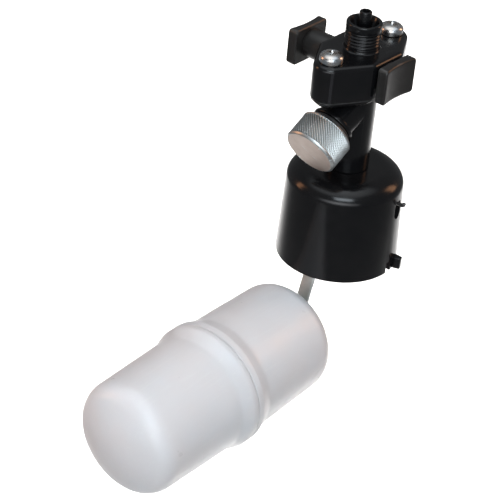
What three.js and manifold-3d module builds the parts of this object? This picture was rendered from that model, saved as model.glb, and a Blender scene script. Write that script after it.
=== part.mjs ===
// Float valve for a small water tank, hung from its threaded inlet.
//
// Water enters the spigot on top, passes the sliding shut-off spool, turns through the strainer in the
// angled branch and leaves at a seat inside the bell hood. The float lifts a bent strip arm, and the arm
// pushes the plunger up against the seat.
//
// Frame, in millimetres: +Z is up along the inlet axis, +X runs towards the float and +Y towards the
// right-hand push pad. The origin is on the inlet axis, at the top face of the head block.

import * as THREE from 'three';
import { mergeVertices } from 'three/addons/utils/BufferGeometryUtils.js';
import Module from 'manifold-3d';

const wasm = await Module();
wasm.setup();

// ---------------------------------------------------------------- driving dimensions

const SEAM = 0.1; // gap left between stacked pieces
const CUT = 1; // how far a cutting tool runs past the face that it cuts

// head block: a two-bolt flange shape with the inlet spigot on top
const BLOCK_HEIGHT = 11.7;
const BLOCK_EDGE = 1.5; // fillet round the top edge
const BLOCK_HALF_WIDTH = 10.8;
const BLOCK_CORNER = { x: 6, radius: 3 }; // where the straight sides turn into the flanks
const LOBE_RADIUS = 5.3; // round end about each screw
const SCREW_X = 14.9;
const SPIGOT_RADIUS = 5.55; // 7/16 inch thread
const SPIGOT_HEIGHT = 8.7;
const MOUTH_RADIUS = 4.5;
const SOCKET_RADIUS = 3.3; // where the tube goes in
const SOCKET_FLOOR = 1.2;
const SPIGOT_CHAMFER = 0.4;
const MOUTH_DEPTH = 3.2;
const NOZZLE_TOP = 12;
const NOZZLE_RADIUS = { tip: 1.9, foot: 2.15 };
const WATERWAY_RADIUS = 1.2;
const PASSAGE_RADIUS = 1.9;

// shut-off spool and its push pads
const SPOOL_Z = -5.9;
const SPOOL_RADIUS = 4.6;
const SPOOL_BORE = 4.8;
const PAD_LEFT_Y = -22.8; // outer face of the left pad
const PAD_RIGHT_Y = 15.75; // outer face of the right pad
const PAD = { width: 15, height: 11.75, thickness: 3.6, dish: 0.7, corner: 0.6 };
const TENON = { radius: 2.8, length: 1.8, play: 0.1 };
const SPOOL_RING = { spacing: 6.5, section: 0.7, radius: 4.06 };
const GROOVE = { depth: 1.35, halfWidth: 0.8 };

// head screws
const SCREW = { headRadius: 3.7, headHeight: 3.1, shankRadius: 1.55, hole: 1.75, length: 14.0 };

// gasket and body flange below the block
const GASKET_THICKNESS = 0.6;
const GASKET_INSET = 0.3; // the gasket and the flange stop short of the block's edge
const FLANGE_BOTTOM = -14.2;
const FLANGE_TAPER = 2.3;

// neck, angled branch and threaded stem of the body
const NECK_RADIUS = 6.85;
const NECK_BOTTOM = -40.9;
const STEM_RADIUS = 5.6;
const STEM_BOTTOM = -45.4;
const STEM_PLAY = 0.15; // round the stem, inside whatever screws onto it
const BRANCH_Z = -17.7; // where the branch axis meets the inlet axis
const BRANCH_DIP = THREE.MathUtils.degToRad(29);
const BRANCH_RADIUS = 7;
const BRANCH_SHOULDER = 12.5; // distances along the branch axis
const BRANCH_END = 19.6;
const STUB_RADIUS = 5.7;
const CAP_RING = { section: 0.6, gap: 0.15 };
const CHAMBER = { radius: 4.4, start: 1 };
const OUTLET = { radius: 1.5, topX: 4.5, topZ: -24, bottomZ: -41 };

// knurled strainer cap
const CAP = { radius: 8.8, back: 14, length: 9.7, bore: 5.9, floor: 6.2, edge: 0.9 };
const SCREEN = { radius: 4.0, wall: 0.4, start: 1.8, end: 19.9 };

// bell hood
const BELL_TOP = -41;
const BELL_BOTTOM = -73.3;
const BELL_RADIUS = { top: 18.5, bottom: 19.75 };
const BELL_SHOULDER = { out: 6.8, down: 5.4 };
const BELL_WALL = 1.5;
const HOOD_BORE = 5.8;
const RIM_GAP = 0.4; // how far the lug's root stands back from the wall's outer face
const LUG = { fromX: -3.4, tipX: -5.7, toX: -7.4, reach: 21.35, height: 3.9 };
const NOTCH = { fromX: -3.1, toX: -0.5 };
const PIN_WINDOW = { radius: 2.3, high: -50.8, low: -52.6 };
const HOOD_NUT = { flats: 17, height: 1.4 };

// pivot housing under the bell's crown
const HOUSING = { radius: 8.6, top: -44.1, plateTop: -46.8, plateBottom: -47.8, guide: 1.8 };
const EAR = { inner: 2.6, outer: 4.8, low: -52, fromX: -7.4, toX: 0.2, root: 0.2 };
const DRAIN = { radius: 1.1, offset: 3.9 };

// seat and plunger
const SEAT = { radius: 2.95, pocket: 3.1, top: -41.2, bottom: -44.9, orifice: 1.1, lip: 0.6, nose: 0.8 };
const SEAT_RING = { radius: 2.3, section: 0.38, room: 0.9 };
const PLUNGER = { head: 2.8, headTop: -45.95, headBottom: -46.7, stem: 1.6, foot: -49.9, round: 0.6 };
const PLUNGER_SEAL = { radius: 2.25, top: -45.85, bottom: -46.35, play: 0.1 };

// hinge pin, arm and float
const PIVOT = { x: -4.8, z: -49.6 };
const PIN = { radius: 0.6, fit: 0.1, headRadius: 1.2, headHeight: 0.8, start: -6.2, tip: 20.8, hook: 1.1 };
const ARM = { width: 4.4, thickness: 1, eye: 1.6, innerZ: -50.7, kneeX: 4.6, ease: 3 };
const ARM_FOOT = { x: 15.3, z: -85.6, endX: 14.75, endZ: -99.6 };
const FLOAT_CENTRE = { x: 59.6, z: -97.5 };
const FLOAT_PITCH = THREE.MathUtils.degToRad(2.3); // nose down at rest
const FLOAT = { half: 43.7, seamRadius: 19.3, endRadius: 18.6, crown: 32, shoulder: 7.2, wall: 1.2 };
const BAND = { radius: 20.8, flat: 2.2, foot: 6.5 };
const FLOAT_BOSS = { radius: 3.6, length: 9, hole: 1.45, floor: 1.2 };
const FLOAT_SCREW = { headRadius: 3.2, headHeight: 1.9, shank: 1.35, length: 8 };
const TIP_GAP = 0.3; // between the arm's foot and the float's tip

// mesh fineness
const FINE = 48;
const MEDIUM = 24;
const SMALL = 16;
const RING_SIDES = 6;

// ---------------------------------------------------------------- materials

const COLOURS = {
  black: { color: 0x0c0c0d, roughness: 0.22, metalness: 0 },
  pad: { color: 0x121110, roughness: 0.35, metalness: 0 },
  zinc: { color: 0xb9bdc4, roughness: 0.25, metalness: 1 },
  aluminium: { color: 0xcfc9c2, roughness: 0.35, metalness: 1 },
  steel: { color: 0x8d9092, roughness: 0.4, metalness: 1 },
  brass: { color: 0xb08d45, roughness: 0.35, metalness: 1 },
  rubber: { color: 0x151515, roughness: 0.8, metalness: 0 },
  acetal: { color: 0xe4e2da, roughness: 0.45, metalness: 0 },
  milky: { color: 0xd9d8da, roughness: 0.4, metalness: 0 },
};

// ---------------------------------------------------------------- solids

// A closed solid from three.js geometry, with its faces turned outwards.
function solid(geometry) {
  const bare = geometry.clone();
  bare.deleteAttribute('normal');
  bare.deleteAttribute('uv');
  const merged = mergeVertices(bare, 1e-4);
  const index = merged.index.array;
  const at = merged.attributes.position.array;
  const triangles = [];
  let volume = 0;
  for (let i = 0; i < index.length; i += 3) {
    const [a, b, c] = [index[i], index[i + 1], index[i + 2]];
    if (a === b || b === c || c === a) continue;
    triangles.push(a, b, c);
    const [p, q, r] = [a, b, c].map((v) => new THREE.Vector3().fromArray(at, 3 * v));
    volume += p.dot(q.cross(r));
  }
  if (volume < 0) triangles.reverse();
  return new wasm.Manifold(new wasm.Mesh({
    numProp: 3,
    vertProperties: Float32Array.from(at),
    triVerts: Uint32Array.from(triangles),
  }));
}

// A solid of revolution about +Z. Each profile point is [radius, height].
function turned(profile, sides = MEDIUM) {
  const points = profile.map(([radius, height]) => new THREE.Vector2(radius, height));
  const geometry = new THREE.LatheGeometry(points, sides);
  return solid(geometry.rotateX(Math.PI / 2));
}

function rod(radius, low, high, sides = SMALL) {
  return turned([[0, low], [radius, low], [radius, high], [0, high]], sides);
}

// A rod along +Y at (x, z).
function crossRod(radius, x, z, from, to, sides = SMALL) {
  return rod(radius, from, to, sides).rotate([-90, 0, 0]).translate([x, 0, z]);
}

function box(low, high) {
  const size = high.map((value, i) => value - low[i]);
  const middle = high.map((value, i) => (value + low[i]) / 2);
  return solid(new THREE.BoxGeometry(...size).translate(...middle));
}

// An O-ring about +Z.
function ring(radius, section, height) {
  const geometry = new THREE.TorusGeometry(radius, section, RING_SIDES, MEDIUM);
  return solid(geometry.translate(0, 0, height));
}

// A flat outline in X and Z, extruded along Y to the given width about y = middle.
function plate(outline, width, middle = 0) {
  const shape = new THREE.Shape(outline.map(([x, z]) => new THREE.Vector2(x, z)));
  const geometry = new THREE.ExtrudeGeometry(shape, { depth: width, bevelEnabled: false });
  geometry.rotateX(Math.PI / 2).translate(0, middle + width / 2, 0);
  return solid(geometry);
}

function mesh(name, shape, look) {
  const part = shape.getMesh();
  const geometry = new THREE.BufferGeometry();
  geometry.setAttribute('position', new THREE.BufferAttribute(Float32Array.from(part.vertProperties), 3));
  geometry.setIndex(Array.from(part.triVerts));
  geometry.computeVertexNormals();
  const material = new THREE.MeshStandardMaterial({ ...COLOURS[look], flatShading: true });
  const piece = new THREE.Mesh(geometry, material);
  piece.name = name;
  return piece;
}

// ---------------------------------------------------------------- plan of the head block

// The plan is the outline round six discs: one about each screw and four at the corners.
const PLAN_DISCS = [
  { x: SCREW_X, y: 0, radius: LOBE_RADIUS },
  { x: -SCREW_X, y: 0, radius: LOBE_RADIUS },
];
for (const sx of [-1, 1]) {
  for (const sy of [-1, 1]) {
    const y = sy * (BLOCK_HALF_WIDTH - BLOCK_CORNER.radius);
    PLAN_DISCS.push({ x: sx * BLOCK_CORNER.x, y, radius: BLOCK_CORNER.radius });
  }
}

function planOutline(offset) {
  const points = [];
  for (let i = 0; i < FINE; i += 1) {
    const turn = (2 * Math.PI * (i + 0.5)) / FINE;
    const [c, s] = [Math.cos(turn), Math.sin(turn)];
    const reach = (disc) => disc.x * c + disc.y * s + disc.radius;
    const disc = PLAN_DISCS.reduce((best, next) => (reach(next) > reach(best) ? next : best));
    points.push([disc.x + (disc.radius + offset) * c, disc.y + (disc.radius + offset) * s]);
  }
  return points;
}

// A solid that follows the plan, with its own offset at each height, from low to high.
function planSolid(levels) {
  const position = levels.flatMap(([height, offset]) => (
    planOutline(offset).flatMap(([x, y]) => [x, y, height])
  ));
  const index = [];
  for (let level = 0; level + 1 < levels.length; level += 1) {
    for (let i = 0; i < FINE; i += 1) {
      const here = level * FINE + i;
      const next = level * FINE + ((i + 1) % FINE);
      index.push(here, next, here + FINE, next, next + FINE, here + FINE);
    }
  }
  const top = (levels.length - 1) * FINE;
  for (let i = 1; i + 1 < FINE; i += 1) {
    index.push(0, i + 1, i);
    index.push(top, top + i, top + i + 1);
  }
  const geometry = new THREE.BufferGeometry();
  geometry.setAttribute('position', new THREE.Float32BufferAttribute(position, 3));
  geometry.setIndex(index);
  return solid(geometry);
}

// ---------------------------------------------------------------- head

function headBlock() {
  const levels = [[-BLOCK_HEIGHT, 0]];
  for (const turn of [0, 30, 60, 90]) {
    const angle = THREE.MathUtils.degToRad(turn);
    levels.push([BLOCK_EDGE * (Math.sin(angle) - 1), BLOCK_EDGE * (Math.cos(angle) - 1)]);
  }
  const spigot = turned([
    [0, -BLOCK_EDGE],
    [SPIGOT_RADIUS, -BLOCK_EDGE],
    [SPIGOT_RADIUS, SPIGOT_HEIGHT - SPIGOT_CHAMFER],
    [SPIGOT_RADIUS - SPIGOT_CHAMFER, SPIGOT_HEIGHT],
    [MOUTH_RADIUS, SPIGOT_HEIGHT],
    [SOCKET_RADIUS, SPIGOT_HEIGHT - MOUTH_DEPTH],
    [SOCKET_RADIUS, SOCKET_FLOOR],
    [NOZZLE_RADIUS.foot, SOCKET_FLOOR],
    [NOZZLE_RADIUS.foot, SPIGOT_HEIGHT],
    [NOZZLE_RADIUS.tip, NOZZLE_TOP],
    [0, NOZZLE_TOP],
  ], FINE);
  let block = planSolid(levels).add(spigot);
  block = block.subtract(rod(WATERWAY_RADIUS, SPOOL_Z, NOZZLE_TOP + CUT));
  block = block.subtract(rod(PASSAGE_RADIUS, -BLOCK_HEIGHT - CUT, SPOOL_Z));
  const reach = BLOCK_HALF_WIDTH + CUT;
  block = block.subtract(crossRod(SPOOL_BORE, 0, SPOOL_Z, -reach, reach, MEDIUM));
  return block.subtract(screwHoles(-BLOCK_HEIGHT, 0));
}

function screwHoles(low, high) {
  const hole = rod(SCREW.hole, low - CUT, high + CUT);
  return hole.translate([SCREW_X, 0, 0]).add(hole.translate([-SCREW_X, 0, 0]));
}

function headGasket() {
  const top = -BLOCK_HEIGHT - SEAM;
  const bottom = -BLOCK_HEIGHT - GASKET_THICKNESS + SEAM;
  const sheet = planSolid([[bottom, -GASKET_INSET], [top, -GASKET_INSET]]);
  const waterway = rod(PASSAGE_RADIUS + GASKET_INSET, bottom - CUT, top + CUT);
  return sheet.subtract(waterway).subtract(screwHoles(bottom, top));
}

// A pan-head screw along +Z, with its head's underside at z = 0.
function panScrew({ headRadius, headHeight, shank, length }) {
  const profile = [[0, -length], [shank * 0.6, -length], [shank, -length + 0.8], [shank, 0], [headRadius, 0]];
  profile.push([headRadius, headHeight * 0.35]);
  for (const turn of [25, 50, 75]) {
    const angle = THREE.MathUtils.degToRad(turn);
    profile.push([headRadius * Math.cos(angle) ** 0.6, headHeight * (0.35 + 0.65 * Math.sin(angle))]);
  }
  profile.push([0, headHeight]);
  const recess = solid(new THREE.BoxGeometry(headRadius * 1.05, 0.8, 2).translate(0, 0, headHeight));
  return turned(profile, SMALL).subtract(recess).subtract(recess.rotate([0, 0, 90]));
}

function headScrew(x) {
  const { headRadius, headHeight, shankRadius, length } = SCREW;
  return panScrew({ headRadius, headHeight, shank: shankRadius, length }).translate([x, 0, SEAM]);
}

// ---------------------------------------------------------------- shut-off

// The spool lies along +Y, from the inner face of one pad to the inner face of the other.
function shutoffSpool() {
  const from = PAD_LEFT_Y + PAD.thickness;
  const to = PAD_RIGHT_Y - PAD.thickness;
  const profile = [[0, from - TENON.length], [TENON.radius, from - TENON.length]];
  profile.push([TENON.radius, from + SEAM], [SPOOL_RADIUS, from + SEAM]);
  for (const middle of ringPlaces()) {
    const { depth, halfWidth } = GROOVE;
    profile.push([SPOOL_RADIUS, middle - halfWidth], [SPOOL_RADIUS - depth, middle - halfWidth]);
    profile.push([SPOOL_RADIUS - depth, middle + halfWidth], [SPOOL_RADIUS, middle + halfWidth]);
  }
  profile.push([SPOOL_RADIUS, to - SEAM], [TENON.radius, to - SEAM]);
  profile.push([TENON.radius, to + TENON.length], [0, to + TENON.length]);
  const spool = turned(profile, MEDIUM).rotate([-90, 0, 0]).translate([0, 0, SPOOL_Z]);
  return spool.subtract(rod(PASSAGE_RADIUS, SPOOL_Z - 2 * SPOOL_RADIUS, SPOOL_Z + 2 * SPOOL_RADIUS));
}

// Seal places along the spool: two on the left of the waterway and one on the right.
function ringPlaces() {
  return [-1.5, -0.5, 0.5].map((step) => step * SPOOL_RING.spacing);
}

function spoolRing(middle) {
  const shape = ring(SPOOL_RING.radius, SPOOL_RING.section, middle);
  return shape.rotate([-90, 0, 0]).translate([0, 0, SPOOL_Z]);
}

// A thumb pad whose outer face is dished along X. side is -1 for the left pad and 1 for the right.
function pushPad(side) {
  const { width, height, thickness, dish, corner } = PAD;
  const half = width / 2;
  const outline = [new THREE.Vector2(-half, 0), new THREE.Vector2(half, 0)];
  outline.push(new THREE.Vector2(half, thickness - corner), new THREE.Vector2(half - corner, thickness));
  const steps = 8;
  for (let i = 1; i < steps; i += 1) {
    const t = 1 - (2 * i) / steps;
    outline.push(new THREE.Vector2(t * (half - corner), thickness - dish * (1 - t * t)));
  }
  outline.push(new THREE.Vector2(corner - half, thickness), new THREE.Vector2(-half, thickness - corner));
  const shape = new THREE.Shape(outline);
  const geometry = new THREE.ExtrudeGeometry(shape, { depth: height, bevelEnabled: false });
  geometry.translate(0, 0, SPOOL_Z - height / 2);
  const inner = side < 0 ? PAD_LEFT_Y + thickness : PAD_RIGHT_Y - thickness;
  const pad = side < 0 ? solid(geometry).rotate([0, 0, 180]) : solid(geometry);
  const socket = TENON.length + TENON.play;
  const hole = crossRod(TENON.radius + TENON.play, 0, SPOOL_Z, inner - socket, inner + socket);
  return pad.translate([0, inner, 0]).subtract(hole);
}

// ---------------------------------------------------------------- body, branch and strainer

// Moves a solid built about +Z, with z as the distance along the branch, onto the branch axis.
function onBranch(shape) {
  return shape.rotate([0, 90 + THREE.MathUtils.radToDeg(BRANCH_DIP), 0]).translate([0, 0, BRANCH_Z]);
}

function valveBody() {
  const flangeTop = -BLOCK_HEIGHT - GASKET_THICKNESS;
  const flange = planSolid([[FLANGE_BOTTOM, -FLANGE_TAPER], [flangeTop, -GASKET_INSET]]);
  const neck = turned([
    [0, STEM_BOTTOM],
    [STEM_RADIUS, STEM_BOTTOM],
    [STEM_RADIUS, NECK_BOTTOM],
    [NECK_RADIUS, NECK_BOTTOM],
    [NECK_RADIUS, flangeTop - SEAM],
    [0, flangeTop - SEAM],
  ], FINE);
  const branch = onBranch(turned([
    [0, 0],
    [BRANCH_RADIUS, 0],
    [BRANCH_RADIUS, BRANCH_SHOULDER],
    [STUB_RADIUS, BRANCH_SHOULDER],
    [STUB_RADIUS, BRANCH_END],
    [0, BRANCH_END],
  ], MEDIUM));
  const above = box([-SCREW_X, -SCREW_X, flangeTop - SEAM], [SCREW_X, SCREW_X, 0]);
  let body = flange.add(neck).add(branch.subtract(above));
  body = body.subtract(onBranch(rod(CHAMBER.radius, CHAMBER.start, BRANCH_END + CUT, MEDIUM)));
  body = body.subtract(rod(PASSAGE_RADIUS, BRANCH_Z - 2, flangeTop + CUT));
  body = body.subtract(outletPassage());
  body = body.subtract(rod(SEAT.pocket, STEM_BOTTOM - CUT, SEAT.top + SEAT_RING.room, MEDIUM));
  return body.subtract(screwHoles(FLANGE_BOTTOM, flangeTop));
}

// A slanted drilling from the strainer chamber down to the seat pocket.
function outletPassage() {
  const { radius, topX, topZ, bottomZ } = OUTLET;
  const length = Math.hypot(topX, topZ - bottomZ);
  const lean = THREE.MathUtils.radToDeg(Math.atan2(topX, topZ - bottomZ));
  return rod(radius, 0, length).rotate([0, lean, 0]).translate([0, 0, bottomZ]);
}

function strainerCap() {
  const { radius, length, bore, floor, edge } = CAP;
  return turned([
    [bore, 0],
    [radius - edge, 0],
    [radius, edge],
    [radius, length - edge],
    [radius - edge, length],
    [0, length],
    [0, floor],
    [bore, floor],
    [bore, 0],
  ], FINE).translate([0, 0, CAP.back]);
}

// Sits on the stub, between the branch's shoulder and the back of the cap.
function capRing() {
  const reach = CAP_RING.section + CAP_RING.gap;
  return ring(STUB_RADIUS + reach, CAP_RING.section, BRANCH_SHOULDER + reach);
}

function strainerScreen() {
  const { radius, wall, start, end } = SCREEN;
  return turned([
    [radius - wall, start],
    [radius, start],
    [radius, end],
    [0, end],
    [0, end - 1],
    [radius - wall, end - 1],
    [radius - wall, start],
  ], MEDIUM);
}

// ---------------------------------------------------------------- hood

function bellRadius(height) {
  const { top, bottom } = BELL_RADIUS;
  return THREE.MathUtils.mapLinear(height, BELL_TOP, BELL_BOTTOM, top, bottom);
}

// The shoulder's quarter of an ellipse, set in by the wall for the inside face. Turns count up from the wall.
function shoulderArc(inset, turns) {
  const { out, down } = BELL_SHOULDER;
  const height = BELL_TOP - down;
  return turns.map((turn) => {
    const angle = THREE.MathUtils.degToRad(turn);
    const radius = bellRadius(height) - out + (out - inset) * Math.cos(angle);
    return [radius, height + (down - inset) * Math.sin(angle)];
  });
}

function bellHood() {
  const outside = shoulderArc(0, [90, 70, 50, 30, 15, 0]);
  const inside = shoulderArc(BELL_WALL, [0, 45, 90]);
  const profile = [
    [HOOD_BORE, BELL_TOP - BELL_WALL],
    [HOOD_BORE, BELL_TOP],
    ...outside,
    [BELL_RADIUS.bottom, BELL_BOTTOM],
    [BELL_RADIUS.bottom - BELL_WALL, BELL_BOTTOM],
    ...inside,
    [HOOD_BORE, BELL_TOP - BELL_WALL],
  ];
  const notch = box([NOTCH.fromX, 0, BELL_BOTTOM - CUT], [NOTCH.toX, LUG.reach, BELL_BOTTOM + LUG.height]);
  return turned(profile, FINE).add(lug()).subtract(notch).subtract(pinWindow());
}

// A wedge-shaped catch on the rim: its face rises from the wall to the tip, and its back drops to the wall.
function lug() {
  const root = BELL_RADIUS.bottom - BELL_WALL;
  const outline = [
    new THREE.Vector2(LUG.fromX, root),
    new THREE.Vector2(LUG.fromX, bellRadius(BELL_BOTTOM) - RIM_GAP),
    new THREE.Vector2(LUG.tipX, LUG.reach),
    new THREE.Vector2(LUG.toX, LUG.reach - 0.5),
    new THREE.Vector2(LUG.toX, root - 1),
  ];
  const shape = new THREE.Shape(outline);
  const geometry = new THREE.ExtrudeGeometry(shape, { depth: LUG.height, bevelEnabled: false });
  return solid(geometry.translate(0, 0, BELL_BOTTOM));
}

// The slot that the hinge pin goes in through: round at both ends.
function pinWindow() {
  const { radius, high, low } = PIN_WINDOW;
  const middle = box([PIVOT.x - radius, 0, low], [PIVOT.x + radius, LUG.reach, high]);
  const ends = [high, low].map((height) => crossRod(radius, PIVOT.x, height, 0, LUG.reach));
  return middle.add(ends[0]).add(ends[1]);
}

function hoodNut() {
  const top = BELL_TOP - BELL_WALL - SEAM;
  const bottom = top - HOOD_NUT.height;
  const corner = HOOD_NUT.flats / 2 / Math.cos(Math.PI / 6);
  return rod(corner, bottom, top, 6).subtract(rod(STEM_RADIUS + STEM_PLAY, bottom - CUT, top + CUT, MEDIUM));
}

// ---------------------------------------------------------------- seat, plunger and pivot

function pivotHousing() {
  const { radius, top, plateTop, plateBottom, guide } = HOUSING;
  const shell = turned([
    [guide, plateBottom],
    [radius, plateBottom],
    [radius, top],
    [STEM_RADIUS + STEM_PLAY, top],
    [STEM_RADIUS + STEM_PLAY, plateTop],
    [guide, plateTop],
    [guide, plateBottom],
  ], MEDIUM);
  const drain = rod(DRAIN.radius, plateBottom - CUT, plateTop + CUT).translate([DRAIN.offset, 0, 0]);
  let housing = shell.subtract(drain);
  for (const side of [-1, 1]) {
    housing = housing.add(plate(earOutline(), EAR.outer - EAR.inner, side * (EAR.outer + EAR.inner) / 2));
  }
  const bore = PIN.radius + PIN.fit;
  return housing.subtract(crossRod(bore, PIVOT.x, PIVOT.z, -EAR.outer - CUT, EAR.outer + CUT));
}

// A hanging ear with a round lower end about the pin.
function earOutline() {
  const rise = HOUSING.plateBottom + EAR.root;
  const radius = PIVOT.z - EAR.low;
  const outline = [[EAR.toX, rise], [EAR.fromX, rise]];
  for (let turn = 180; turn <= 360; turn += 30) {
    const angle = THREE.MathUtils.degToRad(turn);
    outline.push([PIVOT.x + radius * Math.cos(angle), PIVOT.z + radius * Math.sin(angle)]);
  }
  return outline;
}

function valveSeat() {
  const { radius, top, bottom, orifice, lip, nose } = SEAT;
  return turned([
    [orifice, bottom],
    [orifice + lip, bottom],
    [radius, bottom + nose],
    [radius, top],
    [orifice, top],
    [orifice, bottom],
  ], MEDIUM);
}

function seatRing() {
  return ring(SEAT_RING.radius, SEAT_RING.section, SEAT.top + SEAT_RING.room / 2);
}

function plunger() {
  const { head, headTop, headBottom, stem, foot, round } = PLUNGER;
  const recess = PLUNGER_SEAL.radius + PLUNGER_SEAL.play;
  return turned([
    [0, foot],
    [stem - round, foot + round / 4],
    [stem, foot + round],
    [stem, headBottom],
    [head, headBottom],
    [head, headTop],
    [recess, headTop],
    [recess, PLUNGER_SEAL.bottom - SEAM],
    [0, PLUNGER_SEAL.bottom - SEAM],
  ], MEDIUM);
}

function hingePin() {
  const { radius, headRadius, headHeight, start, tip, hook } = PIN;
  const shank = crossRod(radius, PIVOT.x, PIVOT.z, start, tip);
  const head = crossRod(headRadius, PIVOT.x, PIVOT.z, start - headHeight, start);
  const end = rod(radius, PIVOT.z, PIVOT.z + hook).translate([PIVOT.x, tip - radius, 0]);
  return shank.add(head).add(end);
}

// ---------------------------------------------------------------- arm and float

// The arm is one strip of constant thickness, bent at the knee inside the hood and at the float.
function floatArm() {
  const path = new THREE.CurvePath();
  const corners = [
    new THREE.Vector2(PIVOT.x, ARM.innerZ),
    new THREE.Vector2(ARM.kneeX, ARM.innerZ),
    new THREE.Vector2(ARM_FOOT.x, ARM_FOOT.z),
    new THREE.Vector2(ARM_FOOT.endX, ARM_FOOT.endZ),
  ];
  let from = corners[0];
  for (let i = 1; i + 1 < corners.length; i += 1) {
    const into = corners[i].clone().sub(corners[i - 1]).setLength(ARM.ease);
    const out = corners[i + 1].clone().sub(corners[i]).setLength(ARM.ease);
    const start = corners[i].clone().sub(into);
    const end = corners[i].clone().add(out);
    path.add(new THREE.LineCurve(from, start));
    path.add(new THREE.QuadraticBezierCurve(start, corners[i], end));
    from = end;
  }
  path.add(new THREE.LineCurve(from, corners[corners.length - 1]));

  const centre = path.getPoints(6);
  const left = [];
  const right = [];
  centre.forEach((point, i) => {
    const before = centre[Math.max(i - 1, 0)];
    const after = centre[Math.min(i + 1, centre.length - 1)];
    const along = after.clone().sub(before).setLength(ARM.thickness / 2);
    left.push([point.x - along.y, point.y + along.x]);
    right.unshift([point.x + along.y, point.y - along.x]);
  });
  const eye = crossRod(ARM.eye, PIVOT.x, PIVOT.z, -ARM.width / 2, ARM.width / 2);
  const bore = crossRod(PIN.radius + PIN.fit, PIVOT.x, PIVOT.z, -ARM.width, ARM.width);
  const screwHole = onFloat(rod(FLOAT_BOSS.hole, -FLOAT.half - ARM.width, -FLOAT.half + CUT));
  return plate([...left, ...right], ARM.width).add(eye).subtract(bore).subtract(screwHole);
}

// Moves a solid built about +Z, with z as the distance along the float, onto the float's axis.
function onFloat(shape) {
  const turn = 90 + THREE.MathUtils.radToDeg(FLOAT_PITCH);
  return shape.rotate([0, turn, 0]).translate([FLOAT_CENTRE.x, 0, FLOAT_CENTRE.z]);
}

// Half of the float's wall, from the tip to the seam, grown outwards by offset.
// The crown's arc runs into the shoulder's arc, and the shoulder's into the wall.
function floatWall(offset, steps) {
  const { half, seamRadius, endRadius, crown, shoulder } = FLOAT;
  const hubRadius = endRadius - shoulder;
  const crownCentre = half - crown;
  const shoulderCentre = crownCentre + Math.sqrt((crown - shoulder) ** 2 - hubRadius ** 2);
  const join = Math.asin(hubRadius / (crown - shoulder));
  const profile = [];
  for (let i = 0; i <= steps; i += 1) {
    const angle = (join * i) / steps;
    const reach = crown + offset;
    profile.push([reach * Math.sin(angle), crownCentre + reach * Math.cos(angle)]);
  }
  for (let i = 1; i <= steps; i += 1) {
    const angle = join + ((Math.PI / 2 - join) * i) / steps;
    const reach = shoulder + offset;
    profile.push([hubRadius + reach * Math.sin(angle), shoulderCentre + reach * Math.cos(angle)]);
  }
  profile.push([seamRadius + offset, BAND.foot], [BAND.radius + offset, BAND.flat]);
  profile.push([BAND.radius + offset, SEAM / 2]);
  return profile;
}

// A float half as an open cup about +Z with its tip at the top.
function floatCup() {
  const outside = floatWall(0, 4);
  const inside = floatWall(-FLOAT.wall, 2).reverse();
  return turned([...outside, ...inside], FINE);
}

function floatShellFar() {
  const cup = floatCup().rotate([180, 0, 0]);
  const boss = rod(FLOAT_BOSS.radius, -FLOAT.half, -FLOAT.half + FLOAT_BOSS.length);
  const hole = rod(FLOAT_BOSS.hole, -FLOAT.half - CUT, -FLOAT.half + FLOAT_BOSS.length - FLOAT_BOSS.floor);
  return onFloat(cup.add(boss).subtract(hole));
}

function floatScrew() {
  const { headRadius, headHeight, shank, length } = FLOAT_SCREW;
  const seat = -FLOAT.half - 2 * TIP_GAP - ARM.thickness - SEAM;
  const screw = panScrew({ headRadius, headHeight, shank, length });
  return onFloat(screw.rotate([180, 0, 0]).translate([0, 0, seat]));
}

// ---------------------------------------------------------------- assembly

const valve = new THREE.Group();
valve.name = 'float_valve';

valve.add(mesh('head_block', headBlock(), 'black'));
valve.add(mesh('head_gasket', headGasket(), 'rubber'));
valve.add(mesh('head_screw_front', headScrew(SCREW_X), 'zinc'));
valve.add(mesh('head_screw_rear', headScrew(-SCREW_X), 'zinc'));

const shutoff = new THREE.Group();
shutoff.add(mesh('shutoff_spool', shutoffSpool(), 'pad'));
shutoff.add(mesh('push_pad_left', pushPad(-1), 'pad'));
shutoff.add(mesh('push_pad_right', pushPad(1), 'pad'));
['left', 'middle', 'right'].forEach((place, i) => {
  shutoff.add(mesh(`spool_oring_${place}`, spoolRing(ringPlaces()[i]), 'rubber'));
});
valve.add(shutoff);

valve.add(mesh('valve_body', valveBody(), 'black'));

const strainer = new THREE.Group();
strainer.position.set(0, 0, BRANCH_Z);
strainer.rotation.y = Math.PI / 2 + BRANCH_DIP;
strainer.add(mesh('strainer_cap', strainerCap(), 'aluminium'));
strainer.add(mesh('strainer_cap_oring', capRing(), 'rubber'));
strainer.add(mesh('strainer_screen', strainerScreen(), 'steel'));
valve.add(strainer);

valve.add(mesh('bell_hood', bellHood(), 'black'));
valve.add(mesh('hood_nut', hoodNut(), 'black'));
valve.add(mesh('pivot_housing', pivotHousing(), 'black'));
valve.add(mesh('valve_seat', valveSeat(), 'brass'));
valve.add(mesh('seat_oring', seatRing(), 'rubber'));

const outlet = new THREE.Group();
outlet.add(mesh('plunger', plunger(), 'acetal'));
outlet.add(mesh('plunger_seal', rod(PLUNGER_SEAL.radius, PLUNGER_SEAL.bottom, PLUNGER_SEAL.top), 'rubber'));
valve.add(outlet);

valve.add(mesh('hinge_pin', hingePin(), 'steel'));

const swing = new THREE.Group();
swing.add(mesh('float_arm', floatArm(), 'steel'));
swing.add(mesh('float_screw', floatScrew(), 'zinc'));
swing.add(mesh('float_shell_far', floatShellFar(), 'milky'));
swing.add(mesh('float_shell_near', onFloat(floatCup()), 'milky'));
valve.add(swing);

export default valve;
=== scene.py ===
from math import asin, cos, pi, radians, sin, sqrt, tan

import bmesh
import bpy
from mathutils import Matrix, Vector


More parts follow.
